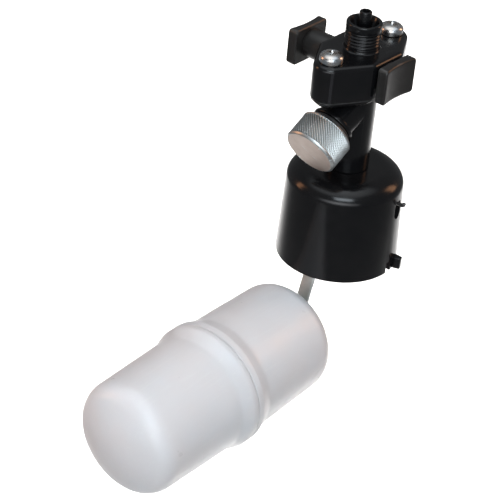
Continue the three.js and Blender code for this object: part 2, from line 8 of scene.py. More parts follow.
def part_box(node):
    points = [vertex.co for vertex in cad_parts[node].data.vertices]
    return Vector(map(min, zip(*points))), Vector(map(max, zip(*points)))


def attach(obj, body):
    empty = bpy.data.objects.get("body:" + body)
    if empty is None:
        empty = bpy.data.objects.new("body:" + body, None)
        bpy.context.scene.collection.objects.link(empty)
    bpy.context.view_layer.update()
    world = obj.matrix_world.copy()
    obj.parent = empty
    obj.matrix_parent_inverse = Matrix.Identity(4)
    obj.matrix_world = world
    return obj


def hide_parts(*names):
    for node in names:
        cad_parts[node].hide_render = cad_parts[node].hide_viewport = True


# The float valve's looks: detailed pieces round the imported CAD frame.
# +Z runs up the inlet axis, +X towards the float and +Y towards the right-hand push pad.
# Sizes below are in millimetres, and MM turns them into metres when a mesh is made.

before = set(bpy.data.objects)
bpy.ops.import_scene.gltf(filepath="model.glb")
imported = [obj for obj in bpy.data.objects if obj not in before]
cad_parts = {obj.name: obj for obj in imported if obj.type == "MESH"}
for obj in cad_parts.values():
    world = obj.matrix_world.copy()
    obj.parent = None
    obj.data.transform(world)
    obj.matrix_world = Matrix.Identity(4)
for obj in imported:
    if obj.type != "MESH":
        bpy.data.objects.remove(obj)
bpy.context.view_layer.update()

MM = 0.001
SIDES = 96  # faces round a turned piece
FILLET_STEPS = 5


def extent(node):
    """Lowest and highest corner of a CAD node, in millimetres."""
    low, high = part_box(node)
    return low / MM, high / MM


# ---------------------------------------------------------------- sizes

BLOCK_LOW, BLOCK_HIGH = extent("head_block")
BLOCK_BOTTOM = BLOCK_LOW.z
NOZZLE_TOP = BLOCK_HIGH.z
BLOCK_HALF_WIDTH = BLOCK_HIGH.y
SCREW_X = sum(v.x for v in extent("head_screw_front")) / 2
LOBE_RADIUS = BLOCK_HIGH.x - SCREW_X
BLOCK_CORNER = (6, 3)  # x of the corner discs, and their radius
BLOCK_EDGE = 1.5
BLOCK_FLAT = 2.6  # how far in from its outline the last ring of points on its top lies
SCREW_HEAD = (3.7, 3.1)  # radius, height
SCREW_SHANK = 1.55
SCREW_THREAD = (0.7, 0.18)  # pitch, depth
SPIGOT_RADIUS = 5.55
SPIGOT_HEIGHT = 8.7
SPIGOT_COLLAR = 2.2  # plain stretch above the thread
THREAD_START = 1.2
THREAD_PITCH = 1.06
THREAD_DEPTH = 0.38
MOUTH_RADIUS = 4.5
SOCKET = (3.3, 5.5, 1.2)  # radius, where the mouth's cone ends, floor
NOZZLE_RADIUS = (2.15, 1.9)  # foot, tip
NOZZLE_HOLE = (1.2, 1)  # radius, height of its floor

SPOOL_LOW, SPOOL_HIGH = extent("shutoff_spool")
SPOOL_Z = (SPOOL_LOW.z + SPOOL_HIGH.z) / 2
SPOOL_RADIUS = 4.6
SPOOL_BORE = 4.8
TENON_LENGTH = 1.8
TENON_RADIUS = 2.8
PASSAGE_RADIUS = 1.9
RING_PLACES = {"left": -9.75, "middle": -3.25, "right": 3.25}  # along the spool
SPOOL_RING = (4.06, 0.7)  # radius, section
GROOVE = (3.25, 0.8)  # radius, half its width
PAD_CORNER = 1.1
PAD_EDGE = 0.7
PAD_DISH = 0.9

GASKET_THICKNESS = 0.6
FLANGE_TOP = BLOCK_BOTTOM - GASKET_THICKNESS
FLANGE_BOTTOM = -14.2
FLANGE_INSET = (0.3, 2.3)  # from the block's outline: at the top, at the bottom
FLANGE_FLATS = (2, 2.9)  # how far in the last rings of points on its top and its bottom lie
NECK_TOP = FLANGE_TOP - 0.3  # inside the flange
NECK_RADIUS = 6.85
NECK_BOTTOM = -40.9
SEAT_POCKET = (3.1, -40.3)  # radius, roof
SEAT_RING = (2.3, 0.38, -40.75)  # radius, section, height
STEM_RADIUS = 5.6
STEM_BOTTOM = extent("valve_body")[0].z
BRANCH_Z = -17.7
BRANCH_DIP = radians(29)
BRANCH_RADIUS = 6.3
BRANCH_COLLAR = (7, 11.2)  # radius, start
BRANCH_SHOULDER = 12.5
BRANCH_END = 19.6
STUB_RADIUS = 5.7  # at the end of the branch, inside the cap
STUB_THREAD = (1, 0.4, BRANCH_SHOULDER + 1.6, BRANCH_END - 0.5)  # pitch, depth, start, end
CHAMBER = (4.4, 3)  # radius, start
CAP_RING = (0.75, 0.6)  # from the stub and the shoulder to the ring's middle, section
CAP_BACK = 14
CAP_LENGTH = 9.7
CAP_RADIUS = 8.8
CAP_BORE = 5.9
CAP_FLOOR = 6.2
CAP_CHAMFER = 0.9  # at the back
CAP_FACE_INSET = 0.6  # from the barrel in to the face
KNURL_TEETH = 56
KNURL_SLANT = 1.1  # height over which a groove moves on by one tooth
KNURL_DEPTH = 0.5

BELL_LOW, BELL_HIGH = extent("bell_hood")
BELL_BOTTOM = BELL_LOW.z
BELL_TOP = BELL_HIGH.z
BELL_FOOT_RADIUS = BELL_HIGH.x
BELL_HEAD_RADIUS = 18.67  # where the shoulder meets the wall
BELL_SHOULDER = (6.8, 5.4)  # out, down
BELL_WALL = 1.5
HOOD_BORE = 5.8
LUG_X = (-4.9, -5.7, -7.4)  # root, tip, back
LUG_HEIGHT = 3.9
NOTCH_X = (-3.1, -0.5)
WINDOW = (2.3, -50.8, -52.6)  # radius, centre of the upper end, centre of the lower end

PIVOT_X = -4.8
PIVOT_Z = -49.6
PIN_RADIUS = 0.6
PIN_HEAD = (1.2, 0.8)  # radius, height
PIN_BEND = 0.7
PIN_HOOK = 1.1

ARM_WIDTH = 4.4
ARM_THICKNESS = 1
ARM_INNER_Z = -50.7
ARM_KNEE_X = 4.6
EYE_START, EYE_SWEEP = radians(-10), radians(280)
ARM_FOOT = ((15.3, -85.6), (14.75, -99.6))
FLOAT_CENTRE = (59.6, 0, -97.5)
FLOAT_PITCH = radians(2.3)
FLOAT_HALF = 43.7
FLOAT_SEAM_RADIUS = 19.3
FLOAT_END_RADIUS = 18.6
FLOAT_CROWN = 32
FLOAT_SHOULDER = 7.2
FLOAT_WALL = 1.2
BAND_RADIUS = 20.8
BAND_FLAT = 2.2
BAND_FOOT = 6.5
FLOAT_BOSS = (3.6, 9)  # radius, length
FLOAT_HOLE = (1.45, 7.8)  # radius, depth
FLOAT_SCREW = (3.2, 1.9, 1.35, 8)  # head radius, head height, shank radius, length
ARM_CLEARANCE = 0.7  # under the float screw's head, over and above the arm's thickness

FLOOR_Z = -1200  # so far down that the black plastic mirrors a dark room

# where a piece built about its own +Z axis goes
ON_AXIS = Matrix.Identity(4)
ON_BRANCH = Matrix.Translation((0, 0, BRANCH_Z * MM)) @ Matrix.Rotation(pi / 2 + BRANCH_DIP, 4, "Y")
ON_FLOAT = Matrix.Translation(Vector(FLOAT_CENTRE) * MM) @ Matrix.Rotation(pi / 2 + FLOAT_PITCH, 4, "Y")
ON_SPOOL = Matrix.Translation((0, 0, SPOOL_Z * MM)) @ Matrix.Rotation(-pi / 2, 4, "X")


# ---------------------------------------------------------------- materials


class Finish:
    """A Principled material whose pattern is worked out in the piece's own coordinates."""

    def __init__(self, name, **values):
        self.material = bpy.data.materials.new(name)
        self.material.use_nodes = True
        self.tree = self.material.node_tree
        self.surface = self.tree.nodes["Principled BSDF"]
        for key, value in values.items():
            self.surface.inputs[key.replace("_", " ")].default_value = value
        self.place = self.node("ShaderNodeTexCoord").outputs["Object"]

    def node(self, kind, **settings):
        made = self.tree.nodes.new(kind)
        for key, value in settings.items():
            setattr(made, key, value)
        return made

    def link(self, source, target):
        self.tree.links.new(source, target)

    def stretched(self, scale):
        """The piece's coordinates, in millimetres, times the scale along each axis."""
        mapping = self.node("ShaderNodeMapping")
        mapping.inputs["Scale"].default_value = [s / MM for s in scale]
        self.link(self.place, mapping.inputs["Vector"])
        return mapping.outputs["Vector"]

    def noise(self, size, detail=3, stretch=(1, 1, 1)):
        """Noise whose features are about `size` millimetres across."""
        made = self.node("ShaderNodeTexNoise")
        made.inputs["Scale"].default_value = 1 / size
        made.inputs["Detail"].default_value = detail
        self.link(self.stretched(stretch), made.inputs["Vector"])
        return made.outputs["Fac"]

    def fit(self, value, low, high, into=(0, 1)):
        """The value, from its range low to high into another range."""
        made = self.node("ShaderNodeMapRange")
        made.inputs["From Min"].default_value = low
        made.inputs["From Max"].default_value = high
        made.inputs["To Min"].default_value = into[0]
        made.inputs["To Max"].default_value = into[1]
        self.link(value, made.inputs["Value"])
        return made.outputs["Result"]

    def edges(self):
        """1 on outside edges and 0 elsewhere: worn edges on most finishes, and a painted highlight on the
        knurled cap's ridges.
        """
        return self.fit(self.node("ShaderNodeNewGeometry").outputs["Pointiness"], 0.53, 0.62)

    def groove_shade_mask(self):
        """1 in grooves and inside corners and 0 elsewhere, where painted shade goes."""
        return self.fit(self.node("ShaderNodeNewGeometry").outputs["Pointiness"], 0.48, 0.40)

    def mix(self, fac, first, second):
        made = self.node("ShaderNodeMix", data_type="RGBA")
        self.link(fac, made.inputs["Factor"])
        for socket, value in ((made.inputs["A"], first), (made.inputs["B"], second)):
            if isinstance(value, tuple):
                socket.default_value = (*value, 1)
            else:
                self.link(value, socket)
        return made.outputs["Result"]

    def times(self, first, second):
        made = self.node("ShaderNodeMath", operation="MULTIPLY")
        self.link(first, made.inputs[0])
        if isinstance(second, (int, float)):
            made.inputs[1].default_value = second
        else:
            self.link(second, made.inputs[1])
        return made.outputs[0]

    def colour(self, source):
        self.link(source, self.surface.inputs["Base Color"])

    def rough(self, source):
        self.link(source, self.surface.inputs["Roughness"])

    def bump(self, height, depth, strength=1):
        """Raises the surface by up to `depth` millimetres."""
        made = self.node("ShaderNodeBump")
        made.inputs["Distance"].default_value = depth * MM
        made.inputs["Strength"].default_value = strength
        self.link(height, made.inputs["Height"])
        before = self.surface.inputs["Normal"]
        if before.is_linked:
            self.link(before.links[0].from_socket, made.inputs["Normal"])
        self.link(made.outputs["Normal"], before)


def black_plastic():
    """Glossy moulded nylon: faint flow marks, a little haze in the gloss and paler worn edges."""
    made = Finish("black_plastic", IOR=1.38)
    haze = made.noise(6, 4)
    dark = made.mix(made.fit(haze, 0.35, 0.7), (0.0035, 0.0038, 0.0045), (0.0055, 0.0055, 0.006))
    made.colour(made.mix(made.times(made.edges(), 0.5), dark, (0.03, 0.03, 0.032)))
    made.rough(made.fit(made.noise(2.5, 5), 0.3, 0.7, (0.16, 0.24)))
    made.bump(made.noise(3.5, 2), 0.02, 0.6)
    made.bump(made.noise(0.18, 2), 0.002, 0.5)
    return made.material


def pad_plastic():
    """The same nylon with a finely sparked, satin face, as on the push pads."""
    made = Finish("pad_plastic", IOR=1.5)
    grain = made.noise(0.25, 2)
    dark = made.mix(made.noise(5, 3), (0.008, 0.0075, 0.007), (0.012, 0.011, 0.010))
    made.colour(made.mix(made.times(made.edges(), 0.6), dark, (0.05, 0.048, 0.045)))
    made.rough(made.fit(grain, 0.3, 0.7, (0.3, 0.42)))
    made.bump(grain, 0.01, 0.5)
    return made.material


def zinc_plate():
    """Bright zinc: faint blue and straw tints, fine scratches and dull edges."""
    made = Finish("zinc_plate", Metallic=1)
    tint = made.mix(made.fit(made.noise(2.2, 3), 0.35, 0.65), (0.56, 0.52, 0.48), (0.48, 0.53, 0.57))
    made.colour(made.mix(made.times(made.edges(), 0.5), tint, (0.75, 0.76, 0.78)))
    made.rough(made.fit(made.noise(0.6, 4), 0.3, 0.7, (0.2, 0.34)))
    made.bump(made.noise(0.12, 2, (1, 6, 1)), 0.003, 0.5)
    return made.material


def turned_aluminium():
    """Machined aluminium: turning rings about the piece's axis, a painted highlight on the ridges and painted
    shade in the grooves, with a beige face and a cool barrel that are painted warm and cool reflection.
    """
    made = Finish("knurled_aluminium", Metallic=1)
    apart = made.node("ShaderNodeSeparateXYZ")
    made.link(made.place, apart.inputs[0])
    squares = [made.times(apart.outputs[i], apart.outputs[i]) for i in (0, 1)]
    total = made.node("ShaderNodeMath", operation="ADD")
    for square, socket in zip(squares, total.inputs):
        made.link(square, socket)
    radius = made.node("ShaderNodeMath", operation="SQRT")
    made.link(total.outputs[0], radius.inputs[0])
    rings = made.node("ShaderNodeTexNoise", noise_dimensions="1D")
    rings.inputs["Scale"].default_value = 6 / MM
    rings.inputs["Detail"].default_value = 2
    made.link(radius.outputs[0], rings.inputs["W"])
    # Painted reflection: the beige tone on the face and back stands for warm reflected light, and its
    # mottling is random tone.
    patches = made.mix(made.fit(made.noise(4, 3), 0.3, 0.7), (0.60, 0.51, 0.45), (0.68, 0.59, 0.53))
    face_radius = CAP_RADIUS - CAP_FACE_INSET
    # 1 on the barrel, where a cool tone is painted as cool reflected light.
    barrel = made.fit(radius.outputs[0], (face_radius - 0.3) * MM, face_radius * MM)
    # Painted highlight: a pale bluish tone on the outside edges of the knurl's ridges.
    raised = made.mix(made.edges(), made.mix(barrel, patches, (0.46, 0.49, 0.49)), (0.85, 0.92, 0.96))
    # Painted shade: near-black in the knurl's grooves and inside corners.
    made.colour(made.mix(made.groove_shade_mask(), raised, (0.09, 0.085, 0.08)))
    made.rough(made.fit(rings.outputs["Fac"], 0.3, 0.7, (0.32, 0.45)))
    made.bump(rings.outputs["Fac"], 0.002, 0.5)
    made.bump(made.noise(0.15, 3), 0.004, 0.5)
    return made.material


def strip_steel():
    """Rolled stainless strip: a satin grain along the strip with cloudy patches and bright sheared edges."""
    made = Finish("arm_steel", Metallic=1)
    grain = made.noise(0.16, 4, (0.4, 1, 0.05))
    cloudy = made.mix(made.fit(made.noise(3, 4), 0.3, 0.7), (0.66, 0.71, 0.69), (0.78, 0.81, 0.79))
    made.colour(made.mix(made.times(made.edges(), 0.6), cloudy, (0.8, 0.8, 0.8)))
    made.rough(made.fit(grain, 0.3, 0.7, (0.36, 0.5)))
    made.bump(grain, 0.006, 0.5)
    return made.material


def pin_steel():
    """Drawn stainless wire."""
    made = Finish("pin_steel", Metallic=1)
    grain = made.noise(0.1, 3, (1, 0.05, 1))
    made.colour(made.mix(grain, (0.10, 0.10, 0.10), (0.24, 0.235, 0.23)))
    made.rough(made.fit(grain, 0.3, 0.7, (0.25, 0.42)))
    made.bump(grain, 0.004, 0.5)
    return made.material


def woven_steel():
    """Stainless gauze: fine crossed wires round the strainer."""
    made = Finish("screen_steel", Metallic=1)
    heights = []
    for scale in ((3.3, 3.3, 3.3), (3.3, 3.3, -3.3)):
        wires = made.node("ShaderNodeTexWave", bands_direction="DIAGONAL")
        wires.inputs["Scale"].default_value = 0.5
        made.link(made.stretched(scale), wires.inputs["Vector"])
        heights.append(wires.outputs["Fac"])
    weave = made.times(*heights)
    made.colour(made.mix(weave, (0.08, 0.08, 0.08), (0.7, 0.7, 0.68)))
    made.rough(made.fit(weave, 0, 1, (0.6, 0.3)))
    made.bump(weave, 0.1, 0.8)
    return made.material


def seat_brass():
    """Turned brass, a little tarnished."""
    made = Finish("seat_brass", Metallic=1)
    tarnish = made.fit(made.noise(1.5, 4), 0.35, 0.7)
    made.colour(made.mix(tarnish, (0.60, 0.42, 0.16), (0.42, 0.28, 0.12)))
    made.rough(made.fit(tarnish, 0, 1, (0.22, 0.45)))
    made.bump(made.noise(0.12, 2, (1, 1, 5)), 0.004, 0.6)
    return made.material


def seal_rubber():
    """Black nitrile rubber: dull, with a powdery bloom."""
    made = Finish("seal_rubber")
    bloom = made.noise(0.8, 5)
    made.colour(made.mix(made.fit(bloom, 0.4, 0.75), (0.012, 0.012, 0.012), (0.035, 0.034, 0.033)))
    made.rough(made.fit(bloom, 0.3, 0.7, (0.5, 0.7)))
    made.bump(made.noise(0.2, 3), 0.01, 0.5)
    return made.material


def plunger_acetal():
    """White acetal: waxy and slightly translucent."""
    made = Finish("plunger_acetal", Subsurface_Weight=0.3, Subsurface_Scale=0.001)
    made.colour(made.mix(made.noise(2, 3), (0.72, 0.71, 0.67), (0.80, 0.79, 0.75)))
    made.rough(made.fit(made.noise(0.5, 3), 0.3, 0.7, (0.32, 0.45)))
    made.bump(made.noise(0.2, 2), 0.004, 0.5)
    return made.material


def float_polyethylene():
    """Milky blown polyethylene: cloudy patches, a waxy gloss and faint scuffs along it."""
    made = Finish(
        "float_polyethylene",
        Subsurface_Weight=0.9,
        Subsurface_Scale=0.004,
        Subsurface_Radius=(1.0, 0.95, 0.97),
        IOR=1.5,
    )
    cloud = made.fit(made.noise(28, 3), 0.35, 0.65)
    warm = made.mix(cloud, (0.80, 0.76, 0.775), (0.765, 0.785, 0.835))
    scuffs = made.fit(made.noise(0.9, 4, (1, 1, 0.06)), 0.56, 0.78)
    made.colour(made.mix(made.times(scuffs, 0.3), warm, (0.86, 0.86, 0.86)))
    made.rough(made.fit(made.noise(7, 2), 0.2, 0.8, (0.27, 0.33)))
    made.bump(made.noise(14, 2), 0.1, 0.3)
    made.bump(made.noise(0.35, 3), 0.004, 0.4)
    return made.material


FINISHES = {
    "black_plastic": black_plastic(),
    "pad_plastic": pad_plastic(),
    "zinc_plate": zinc_plate(),
    "knurled_aluminium": turned_aluminium(),
    "arm_steel": strip_steel(),
    "pin_steel": pin_steel(),
    "screen_steel": woven_steel(),
    "seat_brass": seat_brass(),
    "seal_rubber": seal_rubber(),
    "plunger_acetal": plunger_acetal(),
    "float_polyethylene": float_polyethylene(),
}


# ---------------------------------------------------------------- mesh tools


def rounded(corners, closed=False):
    """A path through corners given as (across, along, fillet radius), with each fillet drawn as an arc."""
    path = []
    for i, (x, y, radius) in enumerate(corners):
        here = Vector((x, y))
        if not radius:
            path.append(here)
            continue
        into = (Vector(corners[i - 1][:2]) - here).normalized()
        out = (Vector(corners[(i + 1) % len(corners)][:2]) - here).normalized()
        half = into.angle(out) / 2
        centre = here + (into + out).normalized() * (radius / sin(half))
        start = here + into * (radius / tan(half)) - centre
        end = here + out * (radius / tan(half)) - centre
        sweep = start.angle_signed(end)
        for k in range(FILLET_STEPS + 1):
            turn = -sweep * k / FILLET_STEPS
            spoke = (start.x * cos(turn) - start.y * sin(turn), start.x * sin(turn) + start.y * cos(turn))
            path.append(centre + Vector(spoke))
    if closed:
        path.append(path[0])
    return path


def run(start, end, steps):
    """Evenly spaced points from start to end, both included."""
    return [Vector(start).lerp(Vector(end), k / steps) for k in range(steps + 1)]


def make(name, points, faces, place=ON_AXIS):
    """A mesh object from points in millimetres, at its place."""
    data = bpy.data.meshes.new(name)
    data.from_pydata([Vector(p) * MM for p in points], [], faces)
    shape = bmesh.new()
    shape.from_mesh(data)
    bmesh.ops.remove_doubles(shape, verts=shape.verts, dist=1e-7)
    bmesh.ops.recalc_face_normals(shape, faces=shape.faces)
    shape.to_mesh(data)
    shape.free()
    piece = bpy.data.objects.new(name, data)
    bpy.context.scene.collection.objects.link(piece)
    piece.matrix_world = place
    return piece


def lathe(name, profile, place=ON_AXIS, sides=SIDES, relief=None):
    """A solid of revolution about +Z. relief(turn, radius, height) moves the surface in or out."""
    points = []
    for side in range(sides):
        turn = 2 * pi * side / sides
        for radius, height in profile:
            reach = radius + (relief(turn, radius, height) if relief else 0)
            points.append((reach * cos(turn), reach * sin(turn), height))
    count = len(profile)
    faces = []
    for side in range(sides):
        here, after = side * count, (side + 1) % sides * count
        for k in range(count - 1):
            faces.append((here + k, after + k, after + k + 1, here + k + 1))
    return make(name, points, faces, place)


def loft(name, loops, place=ON_AXIS):
    """A solid through loops of equally many points, closed at both ends."""
    count = len(loops[0])
    points = [p for loop in loops for p in loop]
    faces = [tuple(range(count)), tuple(range(len(points) - count, len(points)))]
    for level in range(len(loops) - 1):
        base = level * count
        for k in range(count):
            after = (k + 1) % count
            faces.append((base + k, base + after, base + count + after, base + count + k))
    return make(name, points, faces, place)


def settle(piece):
    """Turns the piece's modifiers into its mesh."""
    shaped = piece.evaluated_get(bpy.context.evaluated_depsgraph_get())
    data = bpy.data.meshes.new_from_object(shaped)
    piece.modifiers.clear()
    piece.data = data


def combine(piece, tools, operation="DIFFERENCE"):
    for tool in tools:
        step = piece.modifiers.new("step", "BOOLEAN")
        step.operation = operation
        step.solver = "EXACT"
        step.object = tool
    settle(piece)
    for tool in tools:
        bpy.data.objects.remove(tool)


def soften(piece, width, angle=40):
    """Rounds the piece's sharp edges by `width` millimetres."""
    step = piece.modifiers.new("soften", "BEVEL")
    step.width = width * MM
    step.segments = 3
    step.limit_method = "ANGLE"
    step.angle_limit = radians(angle)
    settle(piece)


def finished(piece, body, look, nodes, sharp=32):
    """Shades the piece, gives it its finish, and sets it on its body in place of the CAD nodes."""
    piece.data.shade_smooth()
    piece.data.set_sharp_from_angle(angle=radians(sharp))
    piece.data.materials.clear()
    piece.data.materials.append(FINISHES[look])
    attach(piece, body)
    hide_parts(*nodes)


def cylinder(name, radius, low, high, place=ON_AXIS, sides=SIDES):
    return lathe(name, [(0, low), (radius, low), (radius, high), (0, high)], place, sides)


def block(name, low, high, place=ON_AXIS):
    (x0, y0, z0), (x1, y1, z1) = low, high
    return loft(name, [[(x0, y0, z), (x1, y0, z), (x1, y1, z), (x0, y1, z)] for z in (z0, z1)], place)


def across(x, z):
    """A place whose +Z axis lies along +Y, through (x, z)."""
    return Matrix.Translation((x * MM, 0, z * MM)) @ Matrix.Rotation(-pi / 2, 4, "X")


def thread(pitch, depth, low, high, inner):
    """Relief of a screw thread between two heights, on the surface outside the inner radius."""

    def relief(turn, radius, height):
        if radius < inner or not low < height < high:
            return 0
        flank = abs(2 * ((height / pitch - turn / (2 * pi)) % 1) - 1)
        groove = min(1, max(0, flank * 1.5 - 0.25))
        runout = min(1, (height - low) / pitch, (high - height) / pitch)
        return -depth * groove * runout

    return relief


def knurl(teeth, slant, depth, low, high, inner):
    """Relief of a knurl: a deep set of slanted grooves, crossed by a shallow one.

    slant is the height over which a groove moves on by one tooth.
    """

    def relief(turn, radius, height):
        if radius < inner or not low <= height <= high:
            return 0
        groove = 0
        for sense, share in ((1, 1), (-1, 0.35)):
            phase = (teeth * turn / (2 * pi) + sense * height / slant) % 1
            groove = max(groove, share * abs(2 * phase - 1))
        runout = min(1, (height - low) / 0.3, (high - height) / 0.3)
        return -depth * groove * runout

    return relief


# ---------------------------------------------------------------- head


def plan(offset):
    """The head block's outline, round a disc at each screw and four at the corners.

    A long flat gets a point near each of its ends, so that it is shaded flat.
    """
    corner_x, corner_radius = BLOCK_CORNER
    discs = [(sx * SCREW_X, 0, LOBE_RADIUS) for sx in (-1, 1)]
    for sx in (-1, 1):
        for sy in (-1, 1):
            discs.append((sx * corner_x, sy * (BLOCK_HALF_WIDTH - corner_radius), corner_radius))
    points = []
    steps = 144
    for k in range(steps):
        c, s = cos(2 * pi * (k + 0.5) / steps), sin(2 * pi * (k + 0.5) / steps)
        x, y, radius = max(discs, key=lambda disc: disc[0] * c + disc[1] * s + disc[2])
        points.append(Vector((x + (radius + offset) * c, y + (radius + offset) * s)))
    outline = []
    for a, b in zip(points, points[1:] + points[:1]):
        outline.append(a)
        if (b - a).length > 2:
            step = (b - a).normalized() * 0.25
            outline += [a + step, b - step]
    return outline


def plan_solid(name, levels):
    """A solid that follows the plan, with its own offset at each height."""
    return loft(name, [[(x, y, height) for x, y in plan(offset)] for offset, height in levels])


def spool_bore():
    return cylinder("bore", SPOOL_BORE, -BLOCK_HALF_WIDTH - 2, BLOCK_HALF_WIDTH + 2, ON_SPOOL)


def head_block():
    levels = rounded([
        (-1, BLOCK_BOTTOM, 0),
        (0, BLOCK_BOTTOM, 0.35),
        (0, 0, BLOCK_EDGE),
        (-BLOCK_FLAT, 0, 0),
    ])
    piece = plan_solid("head_block_body", levels)
    combine(piece, [spool_bore()])
    finished(piece, "valve", "black_plastic", ["head_block"])


def inlet_spigot():
    """The threaded spigot, with the nozzle standing in its mouth."""
    low, high = THREAD_START, SPIGOT_HEIGHT - SPIGOT_COLLAR
    socket, cone_end, floor = SOCKET
    nozzle_foot, nozzle_tip = NOZZLE_RADIUS
    hole, hole_floor = NOZZLE_HOLE
    outside = run((SPIGOT_RADIUS, low), (SPIGOT_RADIUS, high), 56)
    foot = rounded([
        (0, -1, 0),
        (SPIGOT_RADIUS + 1, -1, 0),
        (SPIGOT_RADIUS + 1, -0.05, 0),
        (SPIGOT_RADIUS, -0.05, 0.7),
        (SPIGOT_RADIUS, low, 0),
    ])
    mouth = rounded([
        (SPIGOT_RADIUS, high, 0),
        (SPIGOT_RADIUS, SPIGOT_HEIGHT, 0.45),
        (MOUTH_RADIUS, SPIGOT_HEIGHT, 0.2),
        (socket, cone_end, 0.5),
        (socket, floor, 0.2),
        (nozzle_foot, floor, 0.2),
        (nozzle_foot, SPIGOT_HEIGHT, 2),
        (nozzle_tip, NOZZLE_TOP, 0.35),
        (hole, NOZZLE_TOP, 0.15),
        (hole, hole_floor, 0),
        (0, hole_floor, 0),
    ])
    relief = thread(THREAD_PITCH, THREAD_DEPTH, low, high, SPIGOT_RADIUS - 0.1)
    piece = lathe("inlet_spigot", [*foot, *outside[1:-1], *mouth], relief=relief)
    finished(piece, "valve", "black_plastic", ["head_block"], 50)


def pan_screw(name, head_radius, head_height, shank, length, place):
    """A pan-head screw with a cross recess and a threaded shank, its head's underside at z = 0."""
    bottom = -length
    low, high = bottom + 0.6, -0.2
    point = [Vector((0, bottom)), Vector((shank * 0.6, bottom))]
    shaft = run((shank, low), (shank, high), 80)
    rim = 0.45  # share of the head's height that is upright
    head = rounded([(shank, 0, 0), (head_radius, 0, 0.25), (head_radius, head_height * rim, 0)])
    dome = []
    steps = 12
    for k in range(1, steps + 1):
        turn = pi / 2 * k / steps
        radius = head_radius * (cos(turn) ** 0.75 if k < steps else 0)
        dome.append(Vector((radius, head_height * (rim + (1 - rim) * sin(turn)))))
    groove = thread(*SCREW_THREAD, low, high, shank - 0.01)

    def relief(turn, radius, height):
        return groove(turn, radius, height) if height < 0 else 0

    piece = lathe(name, [*point, *shaft, *head, *dome], place, 64, relief)
    wide, narrow, depth = head_radius * 0.46, 0.36, head_height * 0.65
    recess_low = (head_height - depth, wide * 0.35, narrow * 0.7)
    recess_high = (head_height + 0.5, wide * 1.1, narrow * 1.1)
    tools = []
    for turn in (0, pi / 2):
        loops = [[(-x, -y, z), (x, -y, z), (x, y, z), (-x, y, z)] for z, x, y in (recess_low, recess_high)]
        tools.append(loft("recess", loops, place @ Matrix.Rotation(turn + 0.35, 4, "Z")))
    combine(piece, tools)
    return piece


def head_screws():
    radius, height = SCREW_HEAD
    for place, x in (("front", SCREW_X), ("rear", -SCREW_X)):
        node = f"head_screw_{place}"
        low, high = extent(node)
        seat = high.z - height
        at = Matrix.Translation((x * MM, 0, seat * MM))
        piece = pan_screw(f"{node}_pan", radius, height, SCREW_SHANK, seat - low.z, at)
        finished(piece, "valve", "zinc_plate", [node])


# ---------------------------------------------------------------- shut-off


def shutoff_spool():
    """The bar: a tenon at each end, a groove for each ring, and the waterway across it."""
    low, high = SPOOL_LOW.y, SPOOL_HIGH.y
    groove, half = GROOVE
    corners = [
        (0, low, 0),
        (TENON_RADIUS, low, 0.2),
        (TENON_RADIUS, low + TENON_LENGTH, 0),
        (SPOOL_RADIUS, low + TENON_LENGTH, 0.3),
    ]
    for middle in RING_PLACES.values():
        corners += [(SPOOL_RADIUS, middle - half, 0.12), (groove, middle - half, 0.12)]
        corners += [(groove, middle + half, 0.12), (SPOOL_RADIUS, middle + half, 0.12)]
    corners += [
        (SPOOL_RADIUS, high - TENON_LENGTH, 0.3),
        (TENON_RADIUS, high - TENON_LENGTH, 0),
        (TENON_RADIUS, high, 0.2),
        (0, high, 0),
    ]
    piece = lathe("shutoff_spool_bar", rounded(corners), ON_SPOOL)
    waterway = cylinder("waterway", PASSAGE_RADIUS, SPOOL_Z - 2 * SPOOL_RADIUS, SPOOL_Z + 2 * SPOOL_RADIUS)
    combine(piece, [waterway])
    finished(piece, "shutoff", "pad_plastic", ["shutoff_spool"])


def push_pad(side):
    """A thumb pad with rounded edges, its outer face dished along X, and a socket for the spool's tenon."""
    node = f"push_pad_{side}"
    low, high = extent(node)
    inner, outer = (low.y, high.y) if side == "right" else (high.y, low.y)
    outward = 1 if side == "right" else -1
    thickness = abs(outer - inner)
    middle = (low + high) / 2
    half_x, half_z = (high.x - low.x) / 2, (high.z - low.z) / 2

    def ring(inset, depth, dished, scale=1):
        """The pad's outline, set in from its edge, at a depth from the inner face."""
        x, z, radius = half_x - inset, half_z - inset, PAD_CORNER - inset * 0.5
        corners = rounded([(-x, -z, radius), (x, -z, radius), (x, z, radius), (-x, z, radius)], closed=True)
        loop = []
        for a, b in zip(corners, corners[1:]):
            steps = 12 if (b - a).length > PAD_CORNER else 1
            for point in run(a, b, steps)[:-1]:
                sunk = PAD_DISH * (1 - (scale * point.x / half_x) ** 2) if dished else 0
                y = inner + outward * (depth - sunk)
                loop.append((middle.x + scale * point.x, y, middle.z + scale * point.y))
        return loop

    loops = [ring(0.3, 0, False), ring(0, 0.3, False), ring(0, thickness - PAD_EDGE, True)]
    for k in range(1, FILLET_STEPS + 1):
        turn = pi / 2 * k / FILLET_STEPS
        loops.append(ring(PAD_EDGE * (1 - cos(turn)), thickness - PAD_EDGE * (1 - sin(turn)), True))
    loops += [ring(PAD_EDGE, thickness, True, scale) for scale in (0.9, 0.75, 0.6, 0.4, 0.2, 0.05)]
    piece = loft(f"{node}_moulding", loops)
    socket = cylinder("socket", TENON_RADIUS + 0.1, inner - 2, inner + 2, ON_SPOOL)
    combine(piece, [socket])
    finished(piece, "shutoff", "pad_plastic", [node])


# ---------------------------------------------------------------- body and strainer


def body_flange():
    """The flange, which tapers down from the block's outline."""
    inset_top, inset_bottom = FLANGE_INSET
    flat_top, flat_bottom = FLANGE_FLATS
    levels = rounded([
        (-flat_bottom, FLANGE_BOTTOM, 0),
        (-inset_bottom, FLANGE_BOTTOM, 0.5),
        (-inset_top, FLANGE_TOP, 0.2),
        (-flat_top, FLANGE_TOP, 0),
    ])
    finished(plan_solid("body_flange", levels), "valve", "black_plastic", ["valve_body"])


